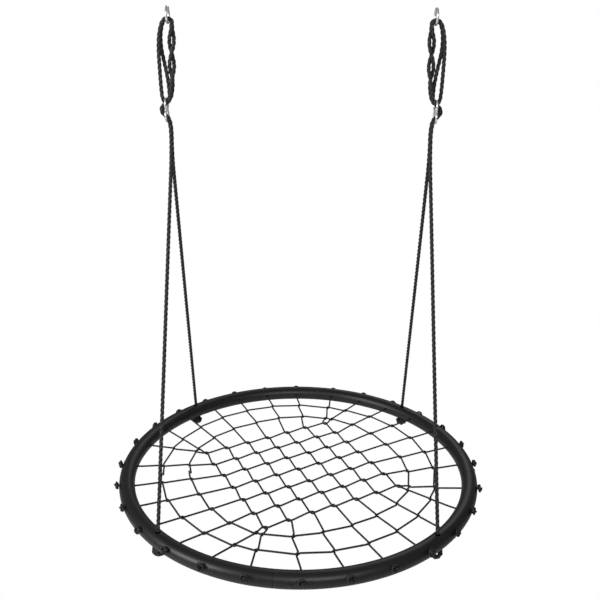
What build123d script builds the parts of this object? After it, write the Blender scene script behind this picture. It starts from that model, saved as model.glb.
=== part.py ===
from build123d import *
from math import cos, hypot, pi, radians, sqrt, tan
import os

# Round rope-net swing. The origin is midway between the two hang rings, on the line about which
# the swing swings. +X runs along that line, +Y to the back, +Z up. All sizes are in millimetres.

# Seat ring: four tube quadrants that plug into each other
RING_RADIUS = 478.8          # centreline of the ring
TUBE_DIAMETER = 42.4
TUBE_WALL = 1.5
JOINT_GAP = 1.5              # open line between two quadrants
JOINT_ANGLE = -96.25         # place of the front joint, degrees from +X
QUADRANTS = 4
SPIGOT_LENGTH = 52.0
SPIGOT_PLAY = 0.3            # radial play of a spigot in the next tube
SPIGOT_STEP = 4.0            # length of the swaged step behind a spigot
SCREW_DISTANCE = 38.0        # from a joint to its screw, along the tube
SCREW_DIAMETER = 4.0
SCREW_LENGTH = 9.0
SCREW_HEAD_DIAMETER = 8.0
SCREW_HEAD_HEIGHT = 2.2
SCREW_PLAY = 0.1             # radial play of a screw in its hole

# Net cord
CORD_DIAMETER = 5.0
CORD_HOLE_PLAY = 1.5         # radial play of a cord in its hole
CORD_HOLE_RISE = 5.0         # height of a cord hole's axis above the ring's plane, at the tube's middle
CORD_HOLE_TILT = 8.0         # degrees that the axis climbs outwards
CORDS_EACH_WAY = 7
FIRST_HOLE_ANGLE = 7.5       # from a joint to the next cord hole, degrees
GRID_ANGLE = 28.2            # direction of the A cords, degrees from +X
NET_BORDER = 170.6           # from the tube's inner edge to a corner of the square mesh
NET_SAG = 9.0
CORD_REST = 2.0              # space between cords that cross
CORD_RUN_OUT = 6.0           # straight cord inside the ring before it turns to the mesh
OUTER_HOOP_INSET = 72.6      # from the tube's inner edge to the outer hoop
INNER_HOOP_INSET = 149.1     # the same for the inner hoop, as a mean
INNER_HOOP_SQUARENESS = 8.5  # how far the inner hoop stands out towards the mesh's corners
RIM_KNOT_DIAMETER = 18.0
RIM_KNOT_LENGTH = 13.0
RIM_KNOT_TAIL = 4.0          # cord end standing out of a knot
KNOT_SEAT = 0.3              # space between a knot and the tube

# Suspension rope
ROPE_DIAMETER = 10.0
ROPE_HOLE_PLAY = 2.0         # radial play of the rope in the tube
ROPE_REST = 0.4              # half the space between ropes that lie side by side
ROPE_WRAP_PLAY = 0.3         # space between the rope and a steel bar that it goes round
SEAT_DROP = 1205.0           # from the hang rings' centres down to the ring's plane
STOPPER_KNOT_DIAMETER = 38.0
STOPPER_KNOT_HEIGHT = 27.0
STOPPER_KNOT_TAIL = 14.0
ROPE_END_GAP = 0.3           # between a leg's ball end and the rope end in the tube
LEGS_MEET = 112.0            # from the adjuster's centre down to where its two legs part
TURN_CUT = 18.0              # degrees left open at each end of a turn over a hang ring

# Steel parts
HANG_RING_WIRE = 6.0
HANG_RING_DIAMETER = 36.0    # of the wire's centreline
HANG_RING_INSET = 23.6       # how far a hang ring stands inward of its rope holes
ADJUSTER_WIRE = 5.0
ADJUSTER_EYE_PITCH = 26.5    # between the adjuster's bars
ADJUSTER_EYE_PLAY = 1.5      # beside the ropes that pass an eye
ADJUSTER_INSET = 11.5        # how far an adjuster stands inward of its rope holes
ADJUSTER_DROP = 216.0        # from a hang ring's centre down to the adjuster's middle bar
LOOP_REACH = 15.5            # how far the loop's inner ropes stand off the adjuster's plane
LOOP_OUTER_REACH = 11.5      # the same for its outer rope
LOOP_LEAN = 6.0              # how far the loop's inner rope stands off the hang ring's wire
LOOP_ROOM = 1.4              # space between that rope and the legs beside it

# Worked out from the sizes above
tube_r = TUBE_DIAMETER / 2
bore_r = tube_r - TUBE_WALL
spigot_r = bore_r - SPIGOT_PLAY
rim_inner = RING_RADIUS - tube_r
rim_outer = RING_RADIUS + tube_r
quarter = 360 / QUADRANTS
hole_step = (quarter - 2 * FIRST_HOLE_ANGLE) / (CORDS_EACH_WAY - 1)
cord_r = CORD_DIAMETER / 2
half_grid = (rim_inner - NET_BORDER) / sqrt(2)
grid_pitch = 2 * half_grid / (CORDS_EACH_WAY - 1)
cord_lift = cord_r + CORD_REST / 2
knot_reach = tube_r + KNOT_SEAT + RIM_KNOT_LENGTH / 2
rope_r = ROPE_DIAMETER / 2
hole_x = RING_RADIUS / sqrt(2)
pivot_z = tube_r - TUBE_WALL / 2 - SEAT_DROP
hang_x = hole_x - HANG_RING_INSET
adjuster_x = hole_x - ADJUSTER_INSET
adjuster_z = -ADJUSTER_DROP
hang_wire_r = HANG_RING_WIRE / 2
hang_wire_z = -HANG_RING_DIAMETER / 2
beside = rope_r + ROPE_REST
apart = 2 * beside
turn_reach = HANG_RING_DIAMETER / 2 - hang_wire_r - rope_r - ROPE_WRAP_PLAY
turn_radius = HANG_RING_DIAMETER / 2 - sqrt(turn_reach**2 - beside**2)
wrap = ADJUSTER_WIRE / 2 + rope_r + ROPE_WRAP_PLAY
top_bar_z = adjuster_z + ADJUSTER_EYE_PITCH
eye_half_width = apart + rope_r + ADJUSTER_EYE_PLAY
SIDES = {"left": -1, "right": 1}
ENDS = {"front": -1, "back": 1}


def save(node, *solids):
    """Write one node's solids to its STEP file."""
    shape = solids[0] if len(solids) == 1 else Compound(children=list(solids))
    export_step(shape, f"parts/{node}.step")


def degrees_along(length):
    """Angle that a length of tube takes up on the ring."""
    return length / RING_RADIUS * 180 / pi


def fillet_radii(points, closed=False):
    """Arc radius for each corner: as large as the two runs beside it allow."""
    corners = [Vector(*p) for p in points]
    if closed:
        corners = [corners[-1]] + corners + [corners[0]]
    radii = []
    for before, corner, after in zip(corners, corners[1:], corners[2:]):
        run_in, run_out = corner - before, after - corner
        turn = radians(run_in.get_angle(run_out))
        radii.append(0.45 * min(run_in.length, run_out.length) / tan(turn / 2))
    return radii


def tube_along(name, points, diameter, closed=False):
    """Round tube along straight runs joined by arcs, with its size checked."""
    radii = fillet_radii(points, closed)
    route = FilletPolyline(*points, radius=radii, close=closed)
    start = Plane(origin=route @ 0, z_dir=route % 0)
    tube = sweep(start * Circle(diameter / 2), path=route)
    share = tube.volume / (pi * diameter**2 / 4 * route.length)
    print(f"{name}: length {route.length:.0f}, volume share {share:.4f}, radii",
          " ".join(f"{r:.0f}" for r in radii))
    return tube.solid()


def ring_pipe(outer, inner, start, end):
    """Length of bent pipe on the ring's centreline, from one angle to another."""
    section = Plane.XZ * Pos(RING_RADIUS, 0) * (Circle(outer) - Circle(inner))
    pipe = revolve(section, Axis.Z, end - start)
    return Rot(0, 0, start) * pipe


def on_hole(angle, reach):
    """Place on a cord hole's axis, a reach outward of the tube's middle, with X pointing outward."""
    middle = Rot(0, 0, angle) * Pos(RING_RADIUS, 0, CORD_HOLE_RISE)
    return middle * Rot(0, -CORD_HOLE_TILT, 0) * Pos(reach, 0, 0)


def cord_hole(angle):
    """Cutter for one cord hole through both walls of the ring."""
    cutter = Cylinder(cord_r + CORD_HOLE_PLAY, 2 * TUBE_DIAMETER, rotation=(0, 90, 0))
    return on_hole(angle, 0) * cutter


def cord_hole_angles(joint):
    """Angles of one quadrant's cord holes."""
    return [joint + FIRST_HOLE_ANGLE + hole_step * i for i in range(CORDS_EACH_WAY)]


def ring_quadrant(index):
    """One quarter of the seat ring: tube, swaged spigot and holes."""
    start = JOINT_ANGLE + quarter * index + degrees_along(JOINT_GAP) / 2
    end = start + quarter - degrees_along(JOINT_GAP)
    step = degrees_along(SPIGOT_STEP)
    reach = degrees_along(SPIGOT_LENGTH)
    tube = ring_pipe(tube_r, bore_r, start, end)
    tube += ring_pipe(bore_r + TUBE_WALL / 2, spigot_r - TUBE_WALL, end - step, end)
    tube += ring_pipe(spigot_r, spigot_r - TUBE_WALL, end - step, end + reach)
    for angle in cord_hole_angles(JOINT_ANGLE + quarter * index):
        tube -= cord_hole(angle)
    middle = JOINT_ANGLE + quarter * index + FIRST_HOLE_ANGLE + hole_step * (CORDS_EACH_WAY / 2)
    rope_hole = Cylinder(rope_r + ROPE_HOLE_PLAY, 2 * TUBE_DIAMETER)
    tube -= Rot(0, 0, middle) * Pos(RING_RADIUS, 0, 0) * rope_hole
    for joint in (index, index + 1):
        tube -= screw_hole(JOINT_ANGLE + quarter * joint)
    return Pos(0, 0, -SEAT_DROP) * tube.solid()


def screw_hole(joint):
    """Cutter for a joint screw, through the outer walls only."""
    angle = joint + degrees_along(SCREW_DISTANCE)
    cutter = Cylinder(SCREW_DIAMETER / 2 + SCREW_PLAY, 2 * SCREW_LENGTH, rotation=(0, 90, 0))
    return Rot(0, 0, angle) * Pos(rim_outer, 0, 0) * cutter


def joint_screw(index):
    """Pan-head screw that holds one plug joint."""
    shank = Pos(0, 0, -SCREW_LENGTH / 2) * Cylinder(SCREW_DIAMETER / 2, SCREW_LENGTH)
    head = Pos(0, 0, SCREW_HEAD_HEIGHT / 2) * Cylinder(SCREW_HEAD_DIAMETER / 2, SCREW_HEAD_HEIGHT)
    head = fillet(head.edges().sort_by(Axis.Z)[-1], 0.6 * SCREW_HEAD_HEIGHT)
    angle = JOINT_ANGLE + quarter * index + degrees_along(SCREW_DISTANCE)
    place = Pos(0, 0, -SEAT_DROP) * Rot(0, 0, angle) * Pos(rim_outer, 0, 0) * Rot(0, 90, 0)
    return place * (shank + head).solid()


def cord_points(way, index):
    """Route of one net cord from rim to rim. Way 0 is the A cords, way 1 the B cords."""
    across = half_grid - grid_pitch * index
    lift = cord_lift if way == 0 else -cord_lift
    turn = GRID_ANGLE + 90 * way
    holes = [a for q in range(QUADRANTS) for a in cord_hole_angles(JOINT_ANGLE + quarter * q)]
    first = holes[(20 + index + CORDS_EACH_WAY * way) % len(holes)]
    last = holes[(12 - index + CORDS_EACH_WAY * way) % len(holes)]
    mesh = [Vector(x, across, lift - NET_SAG).rotate(Axis.Z, turn) for x in (-half_grid, half_grid)]
    run_out = -tube_r - CORD_RUN_OUT
    rim = [on_hole(first, reach).position for reach in (knot_reach, run_out)]
    far = [on_hole(last, reach).position for reach in (run_out, knot_reach)]
    return [tuple(p) for p in rim + mesh + far], (first, last)


def rim_knot(angle):
    """Knot on a cord end outside the ring, with its short tail."""
    knot = Cylinder(RIM_KNOT_DIAMETER / 2, RIM_KNOT_LENGTH)
    knot = fillet(knot.edges().filter_by(GeomType.CIRCLE), RIM_KNOT_LENGTH / 3)
    tail = Cylinder(cord_r, RIM_KNOT_TAIL, align=(Align.CENTER, Align.CENTER, Align.MIN))
    knot += Pos(0, 0, RIM_KNOT_LENGTH / 2) * tail
    return on_hole(angle, knot_reach) * Rot(0, 90, 0) * knot


def net_cord(way, index):
    """One net cord with the knots on its two ends."""
    points, angles = cord_points(way, index)
    name = f"net cord {'ab'[way]}{index + 1}"
    cord = tube_along(name, points, CORD_DIAMETER)
    for angle in angles:
        cord += rim_knot(angle)
    return Pos(0, 0, -SEAT_DROP) * cord.solid()


def cord_end_point(way, index, end, reach):
    """Point where a cord's straight end crosses a circle of the given radius."""
    points, angles = cord_points(way, index)
    mesh, rim = (points[2], points[1]) if end == 0 else (points[3], points[4])
    low, high = 0.0, 1.0
    for _ in range(30):
        middle = (low + high) / 2
        inside = hypot(*[m + (r - m) * middle for m, r in zip(mesh[:2], rim[:2])]) < reach
        low, high = (middle, high) if inside else (low, middle)
    return [m + (r - m) * low for m, r in zip(mesh, rim)]


def net_hoop(name, inset, squareness):
    """Round cord that lies under every cord end and is tied to it."""
    crossings = []
    for way in (0, 1):
        for index in range(CORDS_EACH_WAY):
            for end in (0, 1):
                plain = Vector(*cord_end_point(way, index, end, rim_inner - inset))
                angle = plain.get_signed_angle(Vector(1, 0, 0), Vector(0, 0, -1))
                reach = rim_inner - inset - squareness * cos(radians(4 * (angle - GRID_ANGLE)))
                crossings.append((angle % 360, cord_end_point(way, index, end, reach)))
    crossings.sort()
    height = min(point[2] for _, point in crossings) - CORD_DIAMETER - CORD_REST
    route = [(point[0], point[1], height) for _, point in crossings]
    return Pos(0, 0, -SEAT_DROP) * tube_along(name, route, CORD_DIAMETER, closed=True)


def rope_end(side, end):
    """Rope end inside the tube with its stopper knot below."""
    top = pivot_z - rope_r - ROPE_END_GAP
    knot_top = -SEAT_DROP - tube_r - KNOT_SEAT
    knot_middle = knot_top - STOPPER_KNOT_HEIGHT / 2
    stub = Cylinder(rope_r, top - knot_middle, align=(Align.CENTER, Align.CENTER, Align.MAX))
    knot = Cylinder(STOPPER_KNOT_DIAMETER / 2, STOPPER_KNOT_HEIGHT)
    knot = fillet(knot.edges().filter_by(GeomType.CIRCLE), STOPPER_KNOT_HEIGHT / 3)
    tail_length = STOPPER_KNOT_HEIGHT / 2 + STOPPER_KNOT_TAIL
    tail = Cylinder(rope_r, tail_length, align=(Align.CENTER, Align.CENTER, Align.MAX))
    whole = Pos(0, 0, top) * stub + Pos(0, 0, knot_middle) * (knot + tail)
    return Pos(side * hole_x, end * hole_x, 0) * whole.solid()


def beside_adjuster(side, inward, y, z):
    """Point given by its distance inward of the adjuster's plane."""
    return (side * (adjuster_x - inward), y, z)


def leg_points(side, end):
    """Route of a rope leg: hole, adjuster and up to the hang ring."""
    past_bar = wrap + 0.1 * ROPE_DIAMETER
    bar = ADJUSTER_EYE_PITCH
    ring_inward = adjuster_x - hang_x
    clear_of_loop = ring_inward - LOOP_LEAN + ROPE_DIAMETER + LOOP_ROOM
    return [
        (side * hole_x, end * hole_x, pivot_z),
        beside_adjuster(side, 7.0, end * (beside + 0.6), adjuster_z - LEGS_MEET),
        beside_adjuster(side, past_bar + 0.12 * ROPE_DIAMETER, end * (beside + 0.2), adjuster_z - 0.83 * bar),
        beside_adjuster(side, -past_bar, end * (beside + 1.1), adjuster_z - 0.245 * bar),
        beside_adjuster(side, -past_bar, end * (apart - 1.3), adjuster_z + 0.245 * bar),
        beside_adjuster(side, past_bar, end * apart, adjuster_z + 0.83 * bar),
        beside_adjuster(side, LOOP_REACH, end * apart, adjuster_z + 1.9 * bar),
        beside_adjuster(side, clear_of_loop, end * (beside + 2.6), adjuster_z / 2 + 13.0),
        beside_adjuster(side, ring_inward + turn_radius + 1.6, end * (beside + 0.2), -45.0),
        beside_adjuster(side, ring_inward + turn_radius, end * beside, hang_wire_z),
    ]


def loop_points(side):
    """Route of the loop rope: down from the hang ring, round the adjuster's top bar and back."""
    hug = wrap + 0.2
    ring_inward = adjuster_x - hang_x
    return [
        beside_adjuster(side, ring_inward - turn_radius, -beside, hang_wire_z),
        beside_adjuster(side, -LOOP_OUTER_REACH + 6.0, -beside, hang_wire_z - 42.0),
        beside_adjuster(side, -LOOP_OUTER_REACH, 0.0, top_bar_z + 24.0),
        beside_adjuster(side, -hug, 0.0, top_bar_z - hug),
        beside_adjuster(side, hug, 0.0, top_bar_z - hug),
        beside_adjuster(side, hug + 1.5, 0.5, top_bar_z + 25.0),
        beside_adjuster(side, ring_inward - LOOP_LEAN, beside - 0.4, -80.0),
        beside_adjuster(side, ring_inward - turn_radius, beside, hang_wire_z),
    ]


def rope_leg(name, side, end):
    """One rope leg with a ball end where it enters the tube."""
    leg = tube_along(f"{name} rope leg", leg_points(side, end), ROPE_DIAMETER)
    ball = Pos(side * hole_x, end * hole_x, pivot_z) * Sphere(rope_r)
    return (leg + ball).solid()


def top_turn(side, end):
    """Half turn of rope over a hang ring's wire."""
    section = Plane.XY * Pos(turn_radius, 0) * Circle(rope_r)
    turn = revolve(section, Axis.Y, -(180 - 2 * TURN_CUT))
    turn = Rot(0, -TURN_CUT, 0) * turn
    return Pos(side * hang_x, end * beside, hang_wire_z) * turn.solid()


def hang_ring(side):
    """Steel ring that a hook holds, standing in the YZ plane."""
    return Pos(side * hang_x, 0, 0) * Torus(HANG_RING_DIAMETER / 2, hang_wire_r, rotation=(0, 90, 0))


def adjuster_eye(z):
    """One eye of the adjuster as a bent wire."""
    wire_half = eye_half_width + ADJUSTER_WIRE / 2
    bend = ADJUSTER_EYE_PITCH / 2
    outline = Plane.YZ * SlotOverall(2 * wire_half, 2 * bend).wire()
    start = Plane(origin=outline @ 0, z_dir=outline % 0)
    return Pos(0, 0, z) * sweep(start * Circle(ADJUSTER_WIRE / 2), path=outline)


def adjuster(side):
    """Steel figure-of-eight that the rope is laced through."""
    half = ADJUSTER_EYE_PITCH / 2
    eight = adjuster_eye(half) + adjuster_eye(-half)
    return Pos(side * adjuster_x, 0, adjuster_z) * eight.solid()


os.makedirs("parts", exist_ok=True)

for index in range(QUADRANTS):
    save(f"ring_quadrant_{index + 1}", ring_quadrant(index))
save("joint_screws", *[joint_screw(index) for index in range(QUADRANTS)])

for way in (0, 1):
    for index in range(CORDS_EACH_WAY):
        save(f"net_cord_{'ab'[way]}{index + 1}", net_cord(way, index))
save("net_hoop_outer", net_hoop("outer hoop", OUTER_HOOP_INSET, 0.0))
save("net_hoop_inner", net_hoop("inner hoop", INNER_HOOP_INSET, INNER_HOOP_SQUARENESS))

for side_name, side in SIDES.items():
    save(f"{side_name}_hang_ring", hang_ring(side))
    save(f"{side_name}_adjuster", adjuster(side))
    save(f"{side_name}_rope_turns", *[top_turn(side, end) for end in ENDS.values()])
    save(f"{side_name}_rope_loop", tube_along(f"{side_name} loop", loop_points(side), ROPE_DIAMETER))
    for end_name, end in ENDS.items():
        name = f"{side_name}_{end_name}"
        save(f"{name}_rope_leg", rope_leg(name, side, end))
        save(f"{name}_rope_end", rope_end(side, end))
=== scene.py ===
"""Round rope-net swing: the visible meshes and finishes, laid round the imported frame.

All places are in metres in the frame's own axes: +X along the hanging line, +Y to the back and
+Z up. Small sizes are written in millimetres and multiplied by MM.
"""

import logging
import math
import random
from dataclasses import dataclass, field
from enum import Enum

import bpy
import numpy as np
from mathutils import Euler, Matrix, Vector


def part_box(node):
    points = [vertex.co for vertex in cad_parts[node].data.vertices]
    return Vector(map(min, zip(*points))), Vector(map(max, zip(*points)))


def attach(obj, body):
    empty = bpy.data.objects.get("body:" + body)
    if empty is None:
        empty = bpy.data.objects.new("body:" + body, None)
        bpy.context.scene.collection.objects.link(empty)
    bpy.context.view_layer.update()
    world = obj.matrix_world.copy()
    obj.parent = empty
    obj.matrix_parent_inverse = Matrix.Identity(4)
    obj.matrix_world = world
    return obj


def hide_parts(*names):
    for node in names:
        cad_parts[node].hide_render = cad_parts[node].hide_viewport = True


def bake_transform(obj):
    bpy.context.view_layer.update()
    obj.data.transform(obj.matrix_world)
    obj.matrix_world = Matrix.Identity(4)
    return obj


MM = 0.001
LOG = logging.getLogger("net_swing")

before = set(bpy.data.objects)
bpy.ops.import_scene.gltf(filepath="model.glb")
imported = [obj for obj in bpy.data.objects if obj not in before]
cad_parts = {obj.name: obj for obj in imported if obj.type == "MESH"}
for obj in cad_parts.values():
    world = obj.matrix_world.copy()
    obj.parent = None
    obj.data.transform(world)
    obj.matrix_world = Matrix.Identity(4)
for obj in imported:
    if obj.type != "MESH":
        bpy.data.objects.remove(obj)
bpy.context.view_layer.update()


class Side(Enum):
    """Which of the two hanging ropes, as the sign of its X."""

    LEFT = -1
    RIGHT = 1

    @property
    def label(self) -> str:
        """The side's name as the frame writes it."""
        return self.name.lower()


class End(Enum):
    """Front or back end of a hanging rope, as the sign of its Y."""

    FRONT = -1
    BACK = 1

    @property
    def label(self) -> str:
        """The end's name as the frame writes it."""
        return self.name.lower()


class Way(Enum):
    """The two directions of the net's cords, as quarter turns from the first."""

    A = 0
    B = 1

    @property
    def label(self) -> str:
        """The letter in the frame's node names."""
        return self.name.lower()


def middle(node: str) -> Vector:
    """Return the middle of a frame node's box at rest."""
    low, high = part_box(node)
    return (Vector(low) + Vector(high)) / 2


# ---------------------------------------------------------------- routes and laid cordage


def read_route(points: list[Vector], name: str) -> list[Vector]:
    """Read a smooth line off a NURBS spline that has the given control points.

    Args:
        points: The route's control points.
        name: Name of the curve while it exists.

    Returns:
        Points along the smooth line, from its start to its end.
    """
    curve = bpy.data.curves.new(name, "CURVE")
    curve.dimensions = "3D"
    spline = curve.splines.new("NURBS")
    spline.points.add(len(points) - 1)
    for control, point in zip(spline.points, points):
        control.co = (*point, 1.0)
    spline.order_u = 3
    spline.use_endpoint_u = True
    spline.resolution_u = 16
    carrier = bpy.data.objects.new(name, curve)
    line = bpy.data.meshes.new_from_object(carrier)
    smooth = [vertex.co.copy() for vertex in line.vertices]
    bpy.data.objects.remove(carrier)
    bpy.data.curves.remove(curve)
    bpy.data.meshes.remove(line)
    return smooth


def evenly(line: list[Vector], step: float) -> np.ndarray:
    """Return points at an even spacing of about step along a line, ends included."""
    rough = np.array(line)
    keep = np.ones(len(rough), bool)
    keep[1:] = np.linalg.norm(np.diff(rough, axis=0), axis=1) > 1e-7
    rough = rough[keep]
    along = np.concatenate([[0.0], np.cumsum(np.linalg.norm(np.diff(rough, axis=0), axis=1))])
    count = max(8, round(along[-1] / step))
    wanted = np.linspace(0.0, along[-1], count + 1)
    return np.stack([np.interp(wanted, along, rough[:, axis]) for axis in range(3)], axis=1)


def line_length(line: np.ndarray) -> float:
    """Return the length of a line of points."""
    return float(np.linalg.norm(np.diff(line, axis=0), axis=1).sum())


def carried_frames(line: np.ndarray) -> tuple[np.ndarray, np.ndarray]:
    """Carry a pair of side directions along a line without spinning it.

    Args:
        line: Points of the line.

    Returns:
        The two side directions at each point.
    """
    tangents = np.gradient(line, axis=0)
    tangents /= np.linalg.norm(tangents, axis=1)[:, None]
    start = Vector(tangents[0]).orthogonal().normalized()
    normals = np.empty_like(line)
    normal = np.array(start)
    for index, tangent in enumerate(tangents):
        normal = normal - tangent * normal.dot(tangent)
        normal /= np.linalg.norm(normal)
        normals[index] = normal
    return normals, np.cross(tangents, normals)


@dataclass(frozen=True)
class Cordage:
    """A laid rope or cord of three strands, and how finely its mesh is drawn.

    Fullness is how far the strands are pressed into a round section, from 0 to 1. The end shares
    are how far the last two sections close at each end.
    """

    diameter: float
    lay: float
    step: float
    sides: int = 18
    strands: int = 3
    fullness: float = 0.36
    end_shares: tuple[float, float] = (0.72, 0.94)

    def outline(self) -> np.ndarray:
        """Return the radius of the section at each side, with the strands pressed together."""
        strand = self.diameter / 2 / (1 + 1 / math.sin(math.pi / self.strands))
        centre = self.diameter / 2 - strand
        turn = 2 * np.pi / self.strands
        angles = (np.arange(self.sides) / self.sides * 2 * np.pi + turn / 2) % turn - turn / 2
        across = np.clip(strand**2 - (centre * np.sin(angles)) ** 2, 0.0, None)
        round_strands = centre * np.cos(angles) + np.sqrt(across)
        return round_strands + self.fullness * (self.diameter / 2 - round_strands)

    def mesh(self, name: str, line: np.ndarray, phase: float = 0.0) -> bpy.types.Object:
        """Draw the cordage along a line as one closed mesh, with UVs that follow the lay.

        Args:
            name: Name of the piece.
            line: Evenly spaced points of its centreline.
            phase: Turn of the strands at the start, in radians.

        Returns:
            The piece. U goes once round the strands, V is the length in metres.
        """
        side_one, side_two = carried_frames(line)
        step = line_length(line) / (len(line) - 1)
        along = np.arange(len(line)) * step
        turn = phase + 2 * np.pi * along / self.lay
        angles = turn[:, None] + np.arange(self.sides)[None, :] / self.sides * 2 * np.pi
        close = np.ones(len(line))
        close[[0, -1]], close[[1, -2]] = self.end_shares
        reach = self.outline()[None, :] * close[:, None]
        rings = (
            line[:, None, :]
            + (reach * np.cos(angles))[:, :, None] * side_one[:, None, :]
            + (reach * np.sin(angles))[:, :, None] * side_two[:, None, :]
        )
        tips = [line[0] - (line[1] - line[0]) * 0.5, line[-1] + (line[-1] - line[-2]) * 0.5]
        vertices = np.concatenate([rings.reshape(-1, 3), np.array(tips)])
        faces, uvs = self._faces(len(line), along)
        mesh = bpy.data.meshes.new(name)
        mesh.from_pydata(vertices.tolist(), [], faces)
        layer = mesh.uv_layers.new(name="lay")
        layer.data.foreach_set("uv", np.array(uvs, dtype=np.float32).ravel())
        mesh.polygons.foreach_set("use_smooth", [True] * len(mesh.polygons))
        mesh.update()
        piece = bpy.data.objects.new(name, mesh)
        bpy.context.scene.collection.objects.link(piece)
        return piece

    def _faces(self, rings: int, along: np.ndarray) -> tuple[list, list]:
        """Return the faces between the rings and over the two tips, and each corner's UV."""
        sides, faces, uvs = self.sides, [], []
        for ring in range(rings - 1):
            for side in range(sides):
                right = (side + 1) % sides
                low, high = ring * sides, (ring + 1) * sides
                faces.append((low + side, low + right, high + right, high + side))
                left_u, right_u = side / sides, (side + 1) / sides
                low_v, high_v = along[ring], along[ring + 1]
                uvs += [(left_u, low_v), (right_u, low_v), (right_u, high_v), (left_u, high_v)]
        first_tip, last_tip, last = rings * sides, rings * sides + 1, (rings - 1) * sides
        for side in range(sides):
            right = (side + 1) % sides
            left_u, right_u = side / sides, (side + 1) / sides
            faces.append((right, side, first_tip))
            uvs += [(right_u, along[0]), (left_u, along[0]), (left_u, along[0])]
            faces.append((last + side, last + right, last_tip))
            uvs += [(left_u, along[-1]), (right_u, along[-1]), (left_u, along[-1])]
        return faces, uvs


@dataclass(frozen=True)
class CoilKnot:
    """A stopper knot: the cord winds round itself in slanted turns and leaves a short tail.

    Sizes are in cord diameters, measured from the wall that the knot is pulled against.
    """

    turns: float = 2.0
    waist: float = 1.0
    belly: float = 0.75
    seat: float = 0.38
    height: float = 1.15
    tail: float = 0.15
    points_a_turn: int = 8

    def points(self, diameter: float, start: Vector, out: Vector, dice: random.Random,
               shift: Vector = Vector()) -> list[Vector]:
        """Return control points from the wall through the knot to the end of its tail.

        Args:
            diameter: Diameter of the cord.
            start: Point on the wall where the cord comes out.
            out: Direction in which the cord comes out.
            dice: Source of the small differences between knots.
            shift: How far the knot sits to one side of the cord's hole.

        Returns:
            The control points, in order.
        """
        side = out.orthogonal().normalized()
        other = out.cross(side)
        phase = dice.uniform(0, 2 * math.pi)
        slant = dice.uniform(0.14, 0.3)
        lean = dice.uniform(-0.12, 0.12)
        swell = dice.uniform(0.94, 1.05)

        def place(reach: float, angle: float, up: float) -> Vector:
            """Return the point at a reach, angle and height, given in cord diameters."""
            sideways = side * math.cos(angle) + other * math.sin(angle)
            drawn = min(max(up / self.seat, 0.0), 1.0)
            return start + (sideways * reach + side * lean * up + out * up) * diameter + shift * drawn

        knot = [place(0, 0, -0.6), place(0, 0, 0.0), place(0.15, phase, 0.35)]
        count = round(self.turns * self.points_a_turn)
        for index in range(count + 1):
            share = index / count
            angle = phase + 2 * math.pi * self.turns * share
            reach = (self.waist + self.belly * math.sin(math.pi * share)) * swell
            up = self.seat + self.height * share + slant * math.cos(angle - phase)
            knot.append(place(reach, angle, up))
        top = self.seat + self.height
        knot.append(place(0.3, angle + 0.8, top + 0.35))
        knot.append(place(0.05, angle + 0.8, top + 0.6))
        knot.append(place(0.1, angle, top + 0.6 + self.tail))
        return knot


# ---------------------------------------------------------------- finishes


class NodeBoard:
    """Short ways to place and join nodes in one tree."""

    def __init__(self, tree: bpy.types.NodeTree) -> None:
        """Keep the tree that nodes are placed in."""
        self.tree = tree

    def add(self, kind: str, **settings: object) -> bpy.types.Node:
        """Place a node and set its properties."""
        node = self.tree.nodes.new(kind)
        for name, value in settings.items():
            setattr(node, name, value)
        return node

    def join(self, source: bpy.types.NodeSocket, target: bpy.types.NodeSocket) -> None:
        """Link one socket to another."""
        self.tree.links.new(source, target)

    def math(self, operation: str, *values: object) -> bpy.types.NodeSocket:
        """Place a Math node on sockets or numbers and return its output."""
        node = self.add("ShaderNodeMath", operation=operation)
        for socket, value in zip(node.inputs, values):
            if isinstance(value, bpy.types.NodeSocket):
                self.join(value, socket)
            else:
                socket.default_value = value
        return node.outputs[0]

    def noise(self, scale: object, detail: float, vector: bpy.types.NodeSocket) -> bpy.types.NodeSocket:
        """Place a Noise texture and return its value output."""
        node = self.add("ShaderNodeTexNoise")
        node.inputs["Detail"].default_value = detail
        if isinstance(scale, bpy.types.NodeSocket):
            self.join(scale, node.inputs["Scale"])
        else:
            node.inputs["Scale"].default_value = scale
        self.join(vector, node.inputs["Vector"])
        return node.outputs["Fac"]

    def spread(self, value: bpy.types.NodeSocket, low: object, high: object) -> bpy.types.NodeSocket:
        """Map 0..1 onto low..high and return the result."""
        node = self.add("ShaderNodeMapRange")
        self.join(value, node.inputs["Value"])
        for name, limit in (("To Min", low), ("To Max", high)):
            if isinstance(limit, bpy.types.NodeSocket):
                self.join(limit, node.inputs[name])
            else:
                node.inputs[name].default_value = limit
        return node.outputs[0]

    def mix(self, share: bpy.types.NodeSocket, first: tuple, second: tuple) -> bpy.types.NodeSocket:
        """Mix two colours by a mask and return the colour."""
        node = self.add("ShaderNodeMix", data_type="RGBA")
        self.join(share, node.inputs["Factor"])
        node.inputs["A"].default_value = (*first, 1.0)
        node.inputs["B"].default_value = (*second, 1.0)
        return node.outputs["Result"]


def new_group(name: str, inputs: dict[str, float], outputs: list[str]) -> tuple:
    """Start a shader node group with named float sockets.

    Args:
        name: Name of the group.
        inputs: Names of its inputs and their default values.
        outputs: Names of its outputs.

    Returns:
        The group, a board on it, its input node and its output node.
    """
    group = bpy.data.node_groups.new(name, "ShaderNodeTree")
    for socket, value in inputs.items():
        made = group.interface.new_socket(socket, in_out="INPUT", socket_type="NodeSocketFloat")
        made.default_value = value
    for socket in outputs:
        group.interface.new_socket(socket, in_out="OUTPUT", socket_type="NodeSocketFloat")
    board = NodeBoard(group)
    return group, board, board.add("NodeGroupInput"), board.add("NodeGroupOutput")


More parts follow.
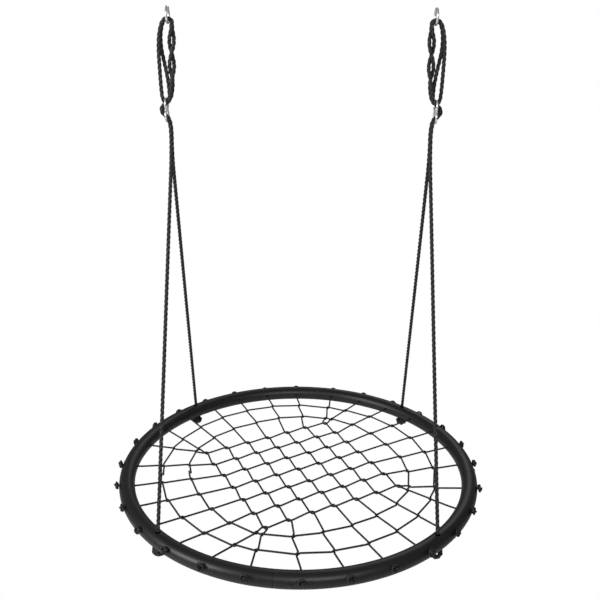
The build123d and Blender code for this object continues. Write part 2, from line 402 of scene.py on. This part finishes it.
def yarn_group() -> bpy.types.NodeTree:
    """Build the group for the fine yarns that run along laid cordage.

    Returns:
        A group that puts out the yarns' tone, height and dryness. The tone is darker in the grooves
        between yarns as painted shade.
    """
    sockets = {"Yarns": 36.0, "Lay": 0.038, "Fuzz": 900.0}
    group, board, given, result = new_group("Yarn lay", sockets, ["Tone", "Height", "Dryness"])
    place = board.add("ShaderNodeUVMap", uv_map="lay")
    split = board.add("ShaderNodeSeparateXYZ")
    board.join(place.outputs["UV"], split.inputs[0])
    solid = board.add("ShaderNodeTexCoord").outputs["Object"]
    drift = board.math("DIVIDE", split.outputs["Y"], given.outputs["Lay"])
    angle = board.math("ADD", split.outputs["X"], drift)
    wobble = board.noise(260.0, 2.0, solid)
    steps = board.math("MULTIPLY", angle, given.outputs["Yarns"])
    bent = board.math("ADD", steps, board.math("MULTIPLY", wobble, 1.6))
    wave = board.math("SINE", board.math("MULTIPLY", bent, 2 * math.pi))
    ridge = board.math("MULTIPLY_ADD", wave, 0.5, 0.5)
    fuzz = board.noise(given.outputs["Fuzz"], 3.0, solid)
    patch = board.noise(38.0, 3.0, solid)
    height = board.math("ADD", board.math("MULTIPLY", ridge, 0.65), board.math("MULTIPLY", fuzz, 0.35))
    # Tone: lighter on the yarn ridges and darker in the grooves between them, which is painted shade,
    # times a patchy noise that is the yarn's own uneven tone.
    tone = board.math("MULTIPLY", board.math("MULTIPLY_ADD", ridge, 0.5, 0.5), patch)
    board.join(board.math("MULTIPLY", tone, 1.5), result.inputs["Tone"])
    board.join(height, result.inputs["Height"])
    board.join(board.math("MULTIPLY_ADD", fuzz, 0.6, 0.2), result.inputs["Dryness"])
    return group


def surface_group() -> bpy.types.NodeTree:
    """Build the group for hard surfaces: cloudy tone, fine grain, scuffs and rubbed edges.

    Returns:
        A group that puts out a tone, a grain height, a scuff mask and an edge mask.
    """
    sockets = {"Cloud": 9.0, "Grain": 900.0, "Scuff": 60.0, "Edge start": 0.53}
    outputs = ["Tone", "Height", "Scuffs", "Edges"]
    group, board, given, result = new_group("Handled surface", sockets, outputs)
    solid = board.add("ShaderNodeTexCoord").outputs["Object"]
    board.join(board.noise(given.outputs["Cloud"], 5.0, solid), result.inputs["Tone"])
    board.join(board.noise(given.outputs["Grain"], 2.0, solid), result.inputs["Height"])
    stretch = board.add("ShaderNodeMapping")
    stretch.inputs["Scale"].default_value = (1.0, 1.0, 7.0)
    stretch.inputs["Rotation"].default_value = (0.4, 0.9, 0.3)
    board.join(solid, stretch.inputs["Vector"])
    streaks = board.noise(given.outputs["Scuff"], 6.0, stretch.outputs["Vector"])
    scuffs = board.add("ShaderNodeMapRange")
    board.join(streaks, scuffs.inputs["Value"])
    scuffs.inputs["From Min"].default_value = 0.62
    scuffs.inputs["From Max"].default_value = 0.74
    board.join(scuffs.outputs[0], result.inputs["Scuffs"])
    edges = board.add("ShaderNodeMapRange")
    board.join(board.add("ShaderNodeNewGeometry").outputs["Pointiness"], edges.inputs["Value"])
    board.join(given.outputs["Edge start"], edges.inputs["From Min"])
    edges.inputs["From Max"].default_value = 0.66
    board.join(edges.outputs[0], result.inputs["Edges"])
    return group


def new_material(name: str) -> tuple[bpy.types.Material, NodeBoard, bpy.types.Node]:
    """Return a new node material, a board on it and its Principled shader."""
    material = bpy.data.materials.new(name)
    material.use_nodes = True
    shader = material.node_tree.nodes["Principled BSDF"]
    return material, NodeBoard(material.node_tree), shader


def place_bump(board: NodeBoard, height: bpy.types.NodeSocket, shader: bpy.types.Node,
               distance: float, strength: float) -> None:
    """Feed a height into a shader's normal through a Bump node."""
    bump = board.add("ShaderNodeBump")
    bump.inputs["Distance"].default_value = distance
    bump.inputs["Strength"].default_value = strength
    board.join(height, bump.inputs["Height"])
    board.join(bump.outputs["Normal"], shader.inputs["Normal"])


@dataclass(frozen=True)
class CordageFinish:
    """Black polypropylene yarn, laid into a rope or a cord."""

    name: str
    yarns: float
    lay: float
    fuzz: float
    dark: tuple[float, float, float] = (0.0035, 0.0035, 0.0038)
    light: tuple[float, float, float] = (0.014, 0.014, 0.015)
    smooth: float = 0.34
    dry: float = 0.62
    relief: float = 0.35 * MM

    def build(self, group: bpy.types.NodeTree) -> bpy.types.Material:
        """Return the material, with the yarn group's values set for this cordage."""
        material, board, shader = new_material(self.name)
        yarn = board.add("ShaderNodeGroup", node_tree=group)
        yarn.inputs["Yarns"].default_value = self.yarns
        yarn.inputs["Lay"].default_value = self.lay
        yarn.inputs["Fuzz"].default_value = self.fuzz
        # Base colour runs from dark to light by the yarn tone: painted shade in the grooves between yarns,
        # plus the yarn's own patchy tone.
        colour = board.mix(yarn.outputs["Tone"], self.dark, self.light)
        board.join(colour, shader.inputs["Base Color"])
        roughness = board.spread(yarn.outputs["Dryness"], self.smooth, self.dry)
        board.join(roughness, shader.inputs["Roughness"])
        shader.inputs["Specular IOR Level"].default_value = 0.5
        shader.inputs["Sheen Weight"].default_value = 0.04
        shader.inputs["Sheen Roughness"].default_value = 0.4
        place_bump(board, yarn.outputs["Height"], shader, self.relief, 0.8)
        return material


@dataclass(frozen=True)
class HardFinish:
    """A coated or bare metal surface."""

    name: str
    dark: tuple[float, float, float]
    light: tuple[float, float, float]
    worn: tuple[float, float, float]
    metallic: float
    smooth: float
    rough: float
    cloud: float
    grain: float
    scuff: float
    relief: float
    coat: float = 0.0
    specular: float = 0.5

    def build(self, group: bpy.types.NodeTree) -> bpy.types.Material:
        """Return the material, with the surface group's values set for this finish."""
        material, board, shader = new_material(self.name)
        surface = board.add("ShaderNodeGroup", node_tree=group)
        surface.inputs["Cloud"].default_value = self.cloud
        surface.inputs["Grain"].default_value = self.grain
        surface.inputs["Scuff"].default_value = self.scuff
        base = board.mix(surface.outputs["Tone"], self.dark, self.light)
        rubbed = board.math("MULTIPLY", surface.outputs["Edges"], 0.6)
        worn = board.add("ShaderNodeMix", data_type="RGBA")
        board.join(rubbed, worn.inputs["Factor"])
        board.join(base, worn.inputs["A"])
        worn.inputs["B"].default_value = (*self.worn, 1.0)
        board.join(worn.outputs["Result"], shader.inputs["Base Color"])
        dulled = board.math("ADD", surface.outputs["Tone"], surface.outputs["Scuffs"])
        roughness = board.spread(board.math("MULTIPLY", dulled, 0.6), self.smooth, self.rough)
        board.join(roughness, shader.inputs["Roughness"])
        shader.inputs["Metallic"].default_value = self.metallic
        shader.inputs["Coat Weight"].default_value = self.coat
        shader.inputs["Coat Roughness"].default_value = 0.3
        shader.inputs["Specular IOR Level"].default_value = self.specular
        place_bump(board, surface.outputs["Height"], shader, self.relief, 0.5)
        return material


ROPE = Cordage(diameter=10 * MM, lay=38 * MM, step=2.0 * MM, sides=18)
NET_CORD = Cordage(diameter=5.5 * MM, lay=17 * MM, step=1.4 * MM, sides=12, fullness=0.5)

ROPE_FINISH = CordageFinish("Rope yarn", yarns=42, lay=ROPE.lay, fuzz=1400.0)
CORD_FINISH = CordageFinish(
    "Net cord yarn", yarns=30, lay=NET_CORD.lay, fuzz=2200.0, light=(0.009, 0.009, 0.010), relief=0.2 * MM,
)
COAT_FINISH = HardFinish(
    "Satin powder coat", dark=(0.0075, 0.0075, 0.008), light=(0.0115, 0.0115, 0.012),
    worn=(0.03, 0.03, 0.032), metallic=0.0, smooth=0.38, rough=0.52, cloud=9.0, grain=800.0,
    scuff=60.0, relief=0.12 * MM, coat=0.0, specular=0.4,
)
STEEL_FINISH = HardFinish(
    "Bright steel", dark=(0.80, 0.80, 0.81), light=(0.90, 0.90, 0.90), worn=(0.95, 0.95, 0.95),
    metallic=0.8, smooth=0.26, rough=0.48, cloud=70.0, grain=2600.0, scuff=420.0, relief=0.03 * MM,
)
ZINC_FINISH = HardFinish(
    "Black zinc", dark=(0.035, 0.035, 0.038), light=(0.06, 0.06, 0.062), worn=(0.25, 0.25, 0.26),
    metallic=0.9, smooth=0.28, rough=0.5, cloud=160.0, grain=3000.0, scuff=700.0, relief=0.03 * MM,
)


# ---------------------------------------------------------------- hanging ropes


@dataclass
class HangingRope:
    """One rope from its front hole through the adjuster, twice over the hang ring, to its back hole.

    The length is in metres. The sizes of the twist of the two legs are in millimetres.
    """

    side: Side
    length: float = 2.92
    twist_reach: float = 5.9
    twist_start: float = -144.0
    twist_length: float = 112.0
    twist_inward: float = 17.0
    twist_drift: float = 4.0
    cordage: Cordage = ROPE
    material: bpy.types.Material | None = None
    ring: Vector = field(init=False)
    adjuster: Vector = field(init=False)
    pivot_z: float = field(init=False)
    hole_x: float = field(init=False)
    hole_y: float = field(init=False)

    def __post_init__(self) -> None:
        """Read the places of the rope's holes, ring and adjuster from the frame."""
        label = self.side.label
        low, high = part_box(f"{label}_front_rope_leg")
        radius = self.cordage.diameter / 2
        self.pivot_z = low[2] + radius
        self.hole_y = -low[1] - radius
        outer = high[0] if self.side is Side.RIGHT else -low[0]
        self.hole_x = outer - radius
        self.ring = middle(f"{label}_hang_ring")
        self.adjuster = middle(f"{label}_adjuster")

    def inward(self, distance: float, y: float, z: float) -> Vector:
        """Return the point at a distance in mm inward of the adjuster's plane."""
        return Vector((self.adjuster.x - self.side.value * distance * MM, y * MM, z * MM))

    def leg(self, end: End) -> list[Vector]:
        """Return one leg's control points, from its hole up to the hang ring."""
        way = end.value
        hole = Vector((self.side.value * self.hole_x, way * self.hole_y, self.pivot_z))
        merge = self.inward(7.0, way * 6.0, -328)
        return [
            hole,
            merge.lerp(hole, 0.1),
            merge,
            self.inward(9.6, way * 5.6, -239.5),
            self.inward(-11.4, way * 6.5, -224.0),
            self.inward(-11.4, way * 9.5, -208.5),
            self.inward(8.8, way * 10.8, -194.0),
            self.inward(15.5, way * 9.8, -166.0),
        ] + self.legs_twist(way)

    def legs_twist(self, way: int) -> list[Vector]:
        """Return control points of one leg where the two legs wind once round each other."""
        points, steps = [], 8
        for step in range(steps + 1):
            share = step / steps
            angle = 2 * math.pi * share
            axis = self.twist_inward + self.twist_drift * share**2
            across = -way * self.twist_reach * math.sin(angle)
            y = way * self.twist_reach * math.cos(angle)
            points.append(self.inward(axis + across, y, self.twist_start + self.twist_length * share))
        return points

    def turn(self, end: End) -> list[Vector]:
        """Return the control points of the half turn over the hang ring, from leg to loop."""
        way = end.value
        middle_in = abs(self.adjuster.x - self.ring.x) / MM
        return [self.inward(middle_in + reach, way * 5.4, -8.06) for reach in (9.94, -9.94)]

    def loop(self) -> list[Vector]:
        """Return the loop's control points, from the front turn round the adjuster to the back one."""
        return [
            self.inward(-8.5, -5.4, -38),
            self.inward(-12.0, -5.4, -78),
            self.inward(-11.6, -3.0, -125),
            self.inward(-11.0, 0.0, -172),
            self.inward(-8.0, 0.0, -197.5),
            self.inward(8.0, 0.0, -197.5),
            self.inward(8.6, 0.0, -168),
            self.inward(5.0, 0.5, -136),
            self.inward(-1.5, 3.0, -103),
            self.inward(-7.5, 5.2, -72),
            self.inward(-7.0, 5.4, -36),
        ]

    def route(self) -> list[Vector]:
        """Return the whole rope's control points, front hole to back hole."""
        front, back = self.leg(End.FRONT), self.leg(End.BACK)
        front_turn, back_turn = self.turn(End.FRONT), self.turn(End.BACK)
        return front + front_turn + self.loop() + back_turn[::-1] + back[::-1]

    def build(self) -> bpy.types.Object:
        """Return the piece."""
        label = self.side.label
        line = evenly(read_route(self.route(), f"{label}_rope_route"), self.cordage.step)
        piece = self.cordage.mesh(f"{label}_rope", line)
        piece.data.materials.append(self.material)
        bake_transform(piece)
        parts = ["rope_turns", "rope_loop", "front_rope_leg", "back_rope_leg"]
        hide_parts(*[f"{label}_{part}" for part in parts])
        LOG.info("%s: %.3f m of rope", piece.name, line_length(line))
        return piece

    def build_stopper(self, end: End, dice: random.Random) -> bpy.types.Object:
        """Draw the rope's end in the tube with the knot under it. Return the piece."""
        node = f"{self.side.label}_{end.label}_rope_end"
        low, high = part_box(node)
        centre = middle(node)
        ring_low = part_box("ring_quadrant_1")[0][2]
        wall = Vector((centre.x, centre.y, ring_low))
        knot = CoilKnot(waist=0.8, belly=0.6, height=1.25, tail=0.2)
        points = [Vector((centre.x, centre.y, z)) for z in (high[2] - 1 * MM, wall.z + 12 * MM)]
        points += knot.points(self.cordage.diameter, wall, Vector((0, 0, -1)), dice)
        line = evenly(read_route(points, node), self.cordage.step)
        piece = self.cordage.mesh(f"{self.side.label}_{end.label}_stopper_knot", line)
        piece.data.materials.append(self.material)
        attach(piece, "seat")
        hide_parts(node)
        LOG.info("%s: reaches %.3f, frame node %.3f", piece.name, line[:, 2].min(), low[2])
        return piece


# ---------------------------------------------------------------- net


@dataclass(frozen=True)
class Meeting:
    """A place where a round cord and a cord end twist together."""

    place: Vector
    half: float
    end_over: bool


@dataclass
class CordEnd:
    """The straight stretch of a net cord between the square mesh and the ring."""

    mesh: Vector
    rim: Vector
    hole: float
    ties: list[Meeting] = field(default_factory=list)


@dataclass
class Net:
    """The laced net: fourteen cords in two directions and two round cords tied across their ends.

    Knot half and tie half are half the length of a crossing in the mesh and at a round cord. The
    rim knots sit lower than their holes by the knot drop, and by up to the knot lean at the back.
    """

    cords_each_way: int = 7
    grid_angle: float = math.radians(28.2)
    first_joint: float = math.radians(-96.25)
    first_hole: float = math.radians(7.5)
    hole_step: float = math.radians(12.5)
    border: float = 170.6 * MM
    sag: float = 9.0 * MM
    outer_hoop_inset: float = 72.6 * MM
    inner_hoop_inset: float = 149.1 * MM
    inner_hoop_squareness: float = 8.5 * MM
    hole_rise: float = 5.0 * MM
    hole_tilt: float = math.radians(8.0)
    knot_half: float = 8.0 * MM
    tie_half: float = 5.8 * MM
    knot_drop: float = 1.0 * MM
    knot_lean: float = 4.0 * MM
    run_out: float = 6.0 * MM
    lead: float = 6.0 * MM
    slack: float = 1.3 * MM
    cordage: Cordage = NET_CORD
    material: bpy.types.Material | None = None
    dice: random.Random = field(default_factory=lambda: random.Random(11))

    def __post_init__(self) -> None:
        """Read the ring's place and size from the frame, and lay out the net's crossings."""
        low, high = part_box("ring_quadrant_2")
        self.rim_outer = high[0]
        self.tube = high[2] - low[2]
        self.rim_inner = self.rim_outer - self.tube
        self.ring_z = (low[2] + high[2]) / 2
        self.ring_radius = self.rim_outer - self.tube / 2
        self.half_grid = (self.rim_inner - self.border) / math.sqrt(2)
        self.pitch = 2 * self.half_grid / (self.cords_each_way - 1)
        self.close = self.cordage.diameter / 2 + 0.1 * MM
        self.crossings = self._lay_out()
        self.ends = self._find_ends()
        self.hoops = {
            "net_hoop_inner": self._tie_hoop(self.inner_hoop_inset, self.inner_hoop_squareness),
            "net_hoop_outer": self._tie_hoop(self.outer_hoop_inset, 0.0),
        }

    def _lay_out(self) -> dict[tuple[int, int], Vector]:
        """Return the middle of each crossing, with the small unevenness of hand lacing."""
        crossings = {}
        for row in range(self.cords_each_way):
            for column in range(self.cords_each_way):
                x = -self.half_grid + self.pitch * column + self.dice.uniform(-1, 1) * self.slack
                y = self.half_grid - self.pitch * row + self.dice.uniform(-1, 1) * self.slack
                z = -self.sag + self.dice.uniform(-1, 1) * 0.6 * self.slack
                crossings[row, column] = Vector((x, y, z))
        return crossings

    def _find_ends(self) -> dict[tuple[Way, int, int], CordEnd]:
        """Return every cord's two ends, by its way, its number and its first or last crossing."""
        holes, count, ends = self.hole_angles(), self.cords_each_way, {}
        for way in Way:
            for index in range(count):
                shift = count * way.value
                for step, hole in ((0, 20 + index + shift), (count - 1, 12 - index + shift)):
                    row, column = self._crossing_of(way, index, step)
                    angle = holes[hole % len(holes)]
                    rim = self.on_hole(angle, -self.tube / 2 - self.run_out)
                    ends[way, index, step] = CordEnd(self.in_ring(self.crossings[row, column]), rim, angle)
        return ends

    def _crossing_of(self, way: Way, index: int, step: int) -> tuple[int, int]:
        """Return the row and column of a cord's crossing, counted along the cord."""
        return (index, step) if way is Way.A else (self.cords_each_way - 1 - step, index)

    def _tie_hoop(self, inset: float, squareness: float) -> list[Meeting]:
        """Find where a round cord meets the cord ends, and note each place on its end.

        Args:
            inset: Mean distance from the tube's inner edge.
            squareness: How far the round cord stands out towards the mesh's corners.

        Returns:
            The meetings, in order of angle.
        """
        found = []
        for end in self.ends.values():
            plain = self._at_radius(end, self.rim_inner - inset)
            swing = squareness * math.cos(4 * (math.atan2(plain.y, plain.x) - self.grid_angle))
            uneven = self.dice.uniform(-1, 1) * self.slack
            place = self._at_radius(end, self.rim_inner - inset - swing + uneven)
            found.append((math.atan2(place.y, place.x), place, end))
        found.sort(key=lambda item: item[0])
        meetings = []
        for number, (_, place, end) in enumerate(found):
            before, after = found[number - 1][1], found[(number + 1) % len(found)][1]
            room = min((place - before).length, (after - place).length)
            meeting = Meeting(place, min(self.tie_half, 0.3 * room), number % 2 == 0)
            end.ties.append(meeting)
            meetings.append(meeting)
        return meetings

    def _at_radius(self, end: CordEnd, radius: float) -> Vector:
        """Return the point of a cord end at a distance from the ring's middle."""
        low, high = 0.0, 1.0
        for _ in range(30):
            share = (low + high) / 2
            low, high = (share, high) if end.mesh.lerp(end.rim, share).xy.length < radius else (low, share)
        return end.mesh.lerp(end.rim, low)

    def in_ring(self, point: Vector) -> Vector:
        """Turn a point of the square mesh into the frame's axes."""
        return Matrix.Rotation(self.grid_angle, 3, "Z") @ point + Vector((0, 0, self.ring_z))

    def on_hole(self, angle: float, reach: float) -> Vector:
        """Return the point on a cord hole's axis, a reach outward of the tube's middle."""
        radius = self.ring_radius + reach * math.cos(self.hole_tilt)
        height = self.ring_z + self.hole_rise + reach * math.sin(self.hole_tilt)
        return Vector((radius * math.cos(angle), radius * math.sin(angle), height))

    def hole_angles(self) -> list[float]:
        """Return the angles of the ring's 28 cord holes."""
        quarter = math.pi / 2
        return [
            self.first_joint + quarter * quadrant + self.first_hole + self.hole_step * step
            for quadrant in range(4)
            for step in range(self.cords_each_way)
        ]

    def twist(self, centre: Vector, run: Vector, across: Vector, over: bool, half: float) -> list[Vector]:
        """Return a cord's control points through one crossing, in the direction it runs.

        The two cords come together at one end of the crossing, lie side by side, change sides
        in its middle and part at the other end.

        Args:
            centre: Middle of the crossing.
            run: Direction along the crossing in which this cord goes.
            across: Direction in which this cord changes sides.
            over: Whether this cord passes over the other one.
            half: Half the length over which the cords lie together.

        Returns:
            The control points, in order.
        """
        lift = 1.0 if over else -1.0
        close = self.close
        offsets = [
            (-half, -close, 0.0),
            (-0.45 * half, -0.9 * close, 0.3 * lift * close),
            (0.0, 0.0, 1.2 * lift * close),
            (0.45 * half, 0.9 * close, 0.3 * lift * close),
            (half, close, 0.0),
        ]
        return [centre + run * a + across * b + Vector((0, 0, c)) for a, b, c in offsets]

    def grid_twist(self, row: int, column: int, way: Way) -> list[Vector]:
        """Return one cord's control points through a crossing of the square mesh."""
        along = Vector((1, -1, 0)).normalized() * (1 if way is Way.A else -1)
        across = Vector((1, 1, 0)).normalized()
        over = (row + column) % 2 == way.value
        turned = self.twist(self.crossings[row, column], along, across, over, self.knot_half)
        return [self.in_ring(point) for point in turned]

    def tie(self, meeting: Meeting, hoop: bool, outward: bool = True) -> list[Vector]:
        """Return control points where a cord end and a round cord twist together.

        Args:
            meeting: Where they meet.
            hoop: Whether the points are for the round cord, which runs counter-clockwise.
            outward: Whether the cord end runs outward there.

        Returns:
            The control points, in order.
        """
        radial = Vector((meeting.place.x, meeting.place.y, 0)).normalized()
        around = Vector((-radial.y, radial.x, 0))
        run = (around - radial).normalized()
        across = Vector((-run.y, run.x, 0))
        if hoop:
            return self.twist(meeting.place, run, -across, not meeting.end_over, meeting.half)
        if outward:
            return self.twist(meeting.place, -run, -across, meeting.end_over, meeting.half)
        return self.twist(meeting.place, run, across, meeting.end_over, meeting.half)

    def linked(self, groups: list[list[Vector]], start: Vector, stop: Vector) -> list[Vector]:
        """Return the groups' points in order, with the stretches between them held straight."""
        points: list[Vector] = []
        for number, group in enumerate(groups):
            previous = start if number == 0 else groups[number - 1][-1]
            following = stop if number == len(groups) - 1 else groups[number + 1][0]
            points += [self.towards(group[0], previous), *group, self.towards(group[-1], following)]
        return points

    def towards(self, point: Vector, other: Vector) -> Vector:
        """Return the point a short way from one point to another."""
        gap = other - point
        return point + gap.normalized() * min(self.lead, 0.3 * gap.length)

    def cord_route(self, way: Way, index: int) -> list[Vector]:
        """Return one cord's control points, from the tail of its first knot to that of its last."""
        count = self.cords_each_way
        first, last = self.ends[way, index, 0], self.ends[way, index, count - 1]
        groups = [self.tie(meeting, hoop=False, outward=False) for meeting in reversed(first.ties)]
        groups += [self.grid_twist(*self._crossing_of(way, index, step), way) for step in range(count)]
        groups += [self.tie(meeting, hoop=False) for meeting in last.ties]
        start, stop = self.rim_end(first.hole), self.rim_end(last.hole)
        return start[::-1] + self.linked(groups, start[0], stop[0]) + stop

    def rim_end(self, angle: float) -> list[Vector]:
        """Return control points from just inside the ring through its wall and the knot outside."""
        wall_reach = self.tube / 2
        inside = self.on_hole(angle, -wall_reach - self.run_out)
        through = self.on_hole(angle, -wall_reach + self.run_out)
        wall = self.on_hole(angle, wall_reach)
        out = (wall - inside).normalized()
        shift = Vector((0, 0, -self.knot_drop - self.knot_lean * math.sin(angle)))
        return [inside, through] + CoilKnot().points(self.cordage.diameter, wall, out, self.dice, shift)

    def build_cord(self, way: Way, index: int) -> bpy.types.Object:
        """Draw one net cord with its two knots. Return the piece."""
        node = f"net_cord_{way.label}{index + 1}"
        line = evenly(read_route(self.cord_route(way, index), node), self.cordage.step)
        piece = self.cordage.mesh(f"laced_{node}", line, self.dice.uniform(0, 2))
        self.finish_piece(piece, node)
        LOG.info("%s: %.3f m of cord", piece.name, line_length(line))
        return piece

    def finish_piece(self, piece: bpy.types.Object, node: str) -> None:
        """Dress a piece of the net, tie it to the seat and hide its frame node."""
        piece.data.materials.append(self.material)
        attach(piece, "seat")
        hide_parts(node)

    def build_hoop(self, node: str) -> bpy.types.Object:
        """Draw one round cord, whose two ends lie side by side where they are tied. Return the piece."""
        groups = [self.tie(meeting, hoop=True) for meeting in self.hoops[node]]
        run = groups[0][0] - groups[-1][-1]
        halfway = groups[-1][-1] + run / 2
        radial = Vector((halfway.x, halfway.y, 0)).normalized() * self.close
        overlap = run.normalized() * min(self.lead, 0.3 * run.length)
        start, stop = halfway + radial - overlap, halfway - radial + overlap
        points = [start, *self.linked(groups, start, stop), stop]
        line = evenly(read_route(points, node), self.cordage.step)
        piece = self.cordage.mesh(f"laced_{node}", line)
        self.finish_piece(piece, node)
        LOG.info("%s: %.3f m of cord", piece.name, line_length(line))
        return piece

    def build(self) -> None:
        """Draw the whole net."""
        for way in Way:
            for index in range(self.cords_each_way):
                self.build_cord(way, index)
        for node in self.hoops:
            self.build_hoop(node)


# ---------------------------------------------------------------- hard parts


@dataclass
class HardParts:
    """The steel of the swing: ring quadrants, joint screws, adjusters and hang rings."""

    coat: bpy.types.Material
    zinc: bpy.types.Material
    steel: bpy.types.Material

    def dress(self) -> None:
        """Give each frame node its finish."""
        for quadrant in range(1, 5):
            self.give(f"ring_quadrant_{quadrant}", self.coat)
        self.give("joint_screws", self.zinc)
        for side in Side:
            self.give(f"{side.label}_adjuster", self.steel)
            self.give(f"{side.label}_hang_ring", self.steel)

    def give(self, node: str, material: bpy.types.Material) -> None:
        """Put one material in every slot of a frame node."""
        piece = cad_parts[node]
        if not piece.material_slots:
            piece.data.materials.append(material)
        for place in piece.material_slots:
            place.material = material
        LOG.info("%s: %s", node, material.name)


# ---------------------------------------------------------------- studio


@dataclass
class Studio:
    """Plain pale floor, soft light and the camera."""

    floor_z: float = -1.80
    floor_half: float = 30.0
    camera_place: tuple[float, float, float] = (0.0015, -1.8540, -0.0744)
    camera_turn: float = math.radians(0.02)
    camera_dip: float = math.radians(-18.72)
    camera_roll: float = math.radians(0.45)
    lens: float = 44.40

    def build_camera(self) -> None:
        """Place the camera and make it the scene's."""
        data = bpy.data.cameras.new("camera")
        data.lens = self.lens
        data.sensor_width = 36.0
        data.clip_end = 100.0
        camera = bpy.data.objects.new("camera", data)
        level = Euler((math.pi / 2 + self.camera_dip, 0.0, self.camera_turn)).to_matrix()
        turned = level @ Matrix.Rotation(self.camera_roll, 3, "Z")
        camera.matrix_world = Matrix.Translation(self.camera_place) @ turned.to_4x4()
        bpy.context.scene.collection.objects.link(camera)
        bpy.context.scene.camera = camera

    def build_floor(self) -> None:
        """Lay the floor."""
        half = self.floor_half
        mesh = bpy.data.meshes.new("floor")
        corners = [(-half, -half, self.floor_z), (half, -half, self.floor_z),
                   (half, half, self.floor_z), (-half, half, self.floor_z)]
        mesh.from_pydata(corners, [], [(0, 1, 2, 3)])
        floor = bpy.data.objects.new("floor", mesh)
        bpy.context.scene.collection.objects.link(floor)
        material, board, shader = new_material("Pale floor")
        shader.inputs["Base Color"].default_value = (0.8, 0.8, 0.8, 1.0)
        shader.inputs["Roughness"].default_value = 0.9
        shader.inputs["Specular IOR Level"].default_value = 0.0
        glow = board.add("ShaderNodeEmission")
        blend = board.add("ShaderNodeMixShader")
        board.join(board.add("ShaderNodeLightPath").outputs["Is Camera Ray"], blend.inputs[0])
        board.join(shader.outputs[0], blend.inputs[1])
        board.join(glow.outputs[0], blend.inputs[2])
        output = next(n for n in material.node_tree.nodes if n.type == "OUTPUT_MATERIAL")
        board.join(blend.outputs[0], output.inputs["Surface"])
        mesh.materials.append(material)

    def build_world(self) -> None:
        """Make a white surround that lights the object only softly."""
        world = bpy.data.worlds.new("studio")
        world.use_nodes = True
        bpy.context.scene.world = world
        board = NodeBoard(world.node_tree)
        plain = world.node_tree.nodes["Background"]
        plain.inputs["Color"].default_value = (1.0, 1.0, 1.0, 1.0)
        plain.inputs["Strength"].default_value = 0.17
        seen = board.add("ShaderNodeBackground")
        seen.inputs["Color"].default_value = (1.0, 1.0, 1.0, 1.0)
        blend = board.add("ShaderNodeMixShader")
        board.join(board.add("ShaderNodeLightPath").outputs["Is Camera Ray"], blend.inputs[0])
        board.join(plain.outputs[0], blend.inputs[1])
        board.join(seen.outputs[0], blend.inputs[2])
        board.join(blend.outputs[0], world.node_tree.nodes["World Output"].inputs["Surface"])

    def build_light(self, name: str, place: tuple, size: tuple, power: float) -> None:
        """Place one soft box that faces the seat."""
        data = bpy.data.lights.new(name, "AREA")
        data.shape = "RECTANGLE"
        data.size, data.size_y = size
        data.energy = power
        light = bpy.data.objects.new(name, data)
        aim = Vector((0.0, 0.0, -0.9)) - Vector(place)
        light.matrix_world = Matrix.Translation(place) @ aim.to_track_quat("-Z", "Y").to_matrix().to_4x4()
        bpy.context.scene.collection.objects.link(light)

    def build(self) -> None:
        """Set up the whole studio."""
        self.build_camera()
        self.build_floor()
        self.build_world()
        self.build_light("left_box", (-2.7, -1.6, 0.3), (1.1, 1.1), 75.0)
        self.build_light("front_box", (0.6, -3.0, 0.9), (1.6, 1.2), 45.0)
        self.build_light("back_box", (0.9, 3.4, 1.6), (2.4, 1.4), 22.0)
        scene = bpy.context.scene
        scene.view_settings.view_transform = "Standard"


def main() -> None:
    """Build the studio, the ropes, the net and the hard parts, in that order."""
    logging.basicConfig(level=logging.INFO, format="%(message)s")
    Studio().build()
    yarn, surface = yarn_group(), surface_group()
    rope_material = ROPE_FINISH.build(yarn)
    dice = random.Random(5)
    for side in Side:
        rope = HangingRope(side, material=rope_material)
        rope.build()
        for end in End:
            rope.build_stopper(end, dice)
    Net(material=CORD_FINISH.build(yarn)).build()
    HardParts(COAT_FINISH.build(surface), ZINC_FINISH.build(surface), STEEL_FINISH.build(surface)).dress()


if __name__ == "__main__":
    main()
